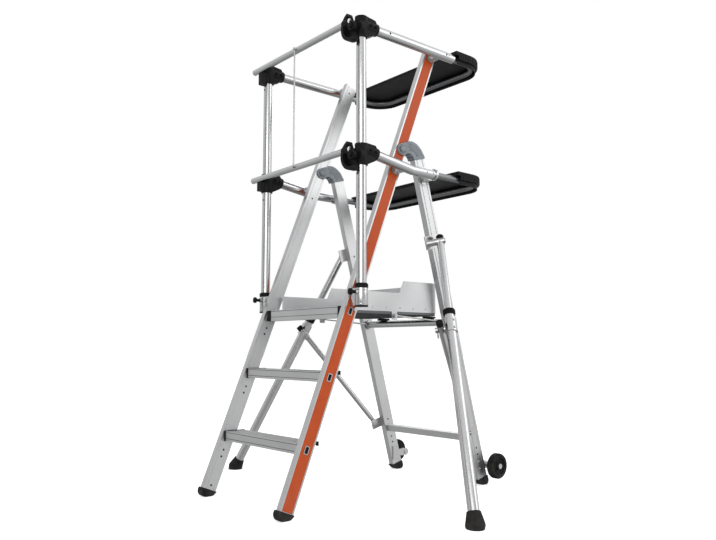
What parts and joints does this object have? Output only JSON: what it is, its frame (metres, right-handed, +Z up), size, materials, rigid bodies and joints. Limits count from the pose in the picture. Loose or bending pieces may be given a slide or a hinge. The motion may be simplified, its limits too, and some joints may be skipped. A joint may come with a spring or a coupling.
{
  "type": "podium step",
  "caption": "Folding podium step with treads, a toe-boarded platform, guard rails with a lifting gate, tool trays, wheels and fold-out stabilisers.",
  "frame": {"origin": "on the floor, below the middle of the outline", "axes": "+X to the climber's right, +Y from the steps to the rear, +Z up"},
  "size_m": [1.498, 1.096, 1.7639],
  "materials": {
    "aluminium": "satin extruded",
    "orange_strip": "smooth coloured strip",
    "black_plastic": "fine-grained moulding",
    "grey_casting": "blue-grey moulding",
    "wheel_rubber": "solid rubber",
    "steel": "bright zinc"
  },
  "bodies": {
    "front_frame": {"left_stile": "aluminium", "right_stile": "aluminium", "stile_strips": "orange_strip", "stile_shoes": "black_plastic", "lower_tread": "aluminium", "upper_tread": "aluminium", "tread_end_caps": "black_plastic", "platform_nosing": "aluminium", "tenon_plugs": "black_plastic", "left_post": "aluminium", "right_post": "aluminium", "post_sockets": "aluminium", "post_collars": "black_plastic", "right_top_connector": "black_plastic", "right_mid_connector": "black_plastic", "left_top_connector": "black_plastic", "left_mid_connector": "black_plastic", "left_top_rail": "aluminium", "right_top_rail": "aluminium", "left_mid_rail": "aluminium", "right_mid_rail": "aluminium", "upper_rear_loop": "aluminium", "lower_rear_loop": "aluminium", "upper_rear_tray": "black_plastic", "lower_rear_tray": "black_plastic", "rail_brackets": "steel", "frame_pins": "steel"},
    "rear_frame": {"left_rear_leg": "aluminium", "right_rear_leg": "aluminium", "leg_knuckles": "grey_casting", "leg_shoes": "black_plastic", "rear_cross_tube": "aluminium", "rear_cross_bar": "aluminium", "leg_brackets": "steel", "rear_frame_pins": "steel"},
    "platform": {"platform_deck": "aluminium", "toe_board": "aluminium", "platform_pads": "black_plastic"},
    "spreader": {"spreader_rods": "steel"},
    "top_gate": {"gate_top_bar": "aluminium", "gate_top_hub": "black_plastic"},
    "mid_gate": {"gate_mid_bar": "aluminium", "gate_mid_hub": "black_plastic"},
    "gate_link": {"gate_link_rod": "steel"},
    "left_knob": {"left_lock_knob": "black_plastic"},
    "left_wheel_body": {"left_wheel": "wheel_rubber"},
    "left_stabiliser": {"left_stabiliser_tube": "aluminium"},
    "left_stabiliser_foot": {"left_stabiliser_leg": "aluminium", "left_stabiliser_rubbers": "black_plastic", "left_stabiliser_collar": "aluminium"},
    "left_brace_body": {"left_brace": "aluminium"},
    "left_pin_body": {"left_lock_pin": "steel"},
    "right_knob": {"right_lock_knob": "black_plastic"},
    "right_wheel_body": {"right_wheel": "wheel_rubber"},
    "right_stabiliser": {"right_stabiliser_tube": "aluminium"},
    "right_stabiliser_foot": {"right_stabiliser_leg": "aluminium", "right_stabiliser_rubbers": "black_plastic", "right_stabiliser_collar": "aluminium"},
    "right_brace_body": {"right_brace": "aluminium"},
    "right_pin_body": {"right_lock_pin": "steel"}
  },
  "joints": [
    {"name": "rear_frame_fold", "type": "hinge", "parent": "front_frame", "child": "rear_frame", "pos_m": [0, 0.00332, 1.313], "axis": [-1, 0, 0], "range_deg": [0, 34]},
    {"name": "platform_tilt", "type": "hinge", "parent": "front_frame", "child": "platform", "pos_m": [0, -0.22602, 0.689], "axis": [1, 0, 0], "range_deg": [0, 66.81]},
    {"name": "spreader_swing", "type": "hinge", "parent": "rear_frame", "child": "spreader", "pos_m": [0, 0.27561, 0.6562], "axis": [-1, 0, 0], "range_deg": [0, 56.3]},
    {"name": "gate_lift", "type": "hinge", "parent": "front_frame", "child": "top_gate", "pos_m": [0.309, -0.272, 1.712], "axis": [0, 1, 0], "range_deg": [0, 75]},
    {"name": "mid_gate_lift", "type": "hinge", "parent": "front_frame", "child": "mid_gate", "pos_m": [0.309, -0.272, 1.23536], "axis": [0, 1, 0], "range_deg": [0, 75.5]},
    {"name": "gate_link_swing", "type": "hinge", "parent": "top_gate", "child": "gate_link", "pos_m": [-0.03615, -0.272, 1.734], "axis": [0, 1, 0], "range_deg": [-75.5, 0]},
    {"name": "left_knob_pull", "type": "slide", "parent": "front_frame", "child": "left_knob", "axis": [0, -1, 0], "range_m": [0, 0.012], "stiffness_N_per_m": 200},
    {"name": "left_wheel_spin", "type": "hinge", "parent": "rear_frame", "child": "left_wheel_body", "pos_m": [-0.3, 0.498, 0.074], "axis": [1, 0, 0], "continuous": true},
    {"name": "left_stabiliser_fold", "type": "hinge", "parent": "rear_frame", "child": "left_stabiliser", "pos_m": [-0.305, 0.17455, 0.967], "axis": [0.7936, -0.5867, -0.1611], "range_deg": [0, 34]},
    {"name": "left_stabiliser_reach", "type": "slide", "parent": "left_stabiliser", "child": "left_stabiliser_foot", "axis": [0.381, 0.2728, 0.8834], "range_m": [-0.03, 0.03]},
    {"name": "left_brace_fold", "type": "hinge", "parent": "rear_frame", "child": "left_brace_body", "pos_m": [-0.28495, 0.34654, 0.21573], "axis": [0.7936, -0.5867, -0.1611], "range_deg": [-23.87, 0]},
    {"name": "left_pin_pull", "type": "slide", "parent": "left_brace_body", "child": "left_pin_body", "axis": [0.7936, -0.5867, -0.1611], "range_m": [0, 0.012], "stiffness_N_per_m": 200},
    {"name": "right_knob_pull", "type": "slide", "parent": "front_frame", "child": "right_knob", "axis": [0, -1, 0], "range_m": [0, 0.012], "stiffness_N_per_m": 200},
    {"name": "right_wheel_spin", "type": "hinge", "parent": "rear_frame", "child": "right_wheel_body", "pos_m": [0.3, 0.498, 0.074], "axis": [1, 0, 0], "continuous": true},
    {"name": "right_stabiliser_fold", "type": "hinge", "parent": "rear_frame", "child": "right_stabiliser", "pos_m": [0.305, 0.17455, 0.967], "axis": [0.7936, 0.5867, 0.1611], "range_deg": [0, 34]},
    {"name": "right_stabiliser_reach", "type": "slide", "parent": "right_stabiliser", "child": "right_stabiliser_foot", "axis": [-0.381, 0.2728, 0.8834], "range_m": [-0.03, 0.03]},
    {"name": "right_brace_fold", "type": "hinge", "parent": "rear_frame", "child": "right_brace_body", "pos_m": [0.28495, 0.34654, 0.21573], "axis": [0.7936, 0.5867, 0.1611], "range_deg": [-23.87, 0]},
    {"name": "right_pin_pull", "type": "slide", "parent": "right_brace_body", "child": "right_pin_body", "axis": [-0.7936, -0.5867, -0.1611], "range_m": [0, 0.012], "stiffness_N_per_m": 200}
  ],
  "couplings": [
    {"joint": "platform_tilt", "follows": "rear_frame_fold", "ratio": 1.9504},
    {"joint": "spreader_swing", "follows": "rear_frame_fold", "ratio": 1.6411},
    {"joint": "mid_gate_lift", "follows": "gate_lift", "ratio": 1},
    {"joint": "gate_link_swing", "follows": "gate_lift", "ratio": -1},
    {"joint": "left_brace_fold", "follows": "left_stabiliser_fold", "ratio": -0.6874},
    {"joint": "right_brace_fold", "follows": "right_stabiliser_fold", "ratio": -0.6874}
  ]
}
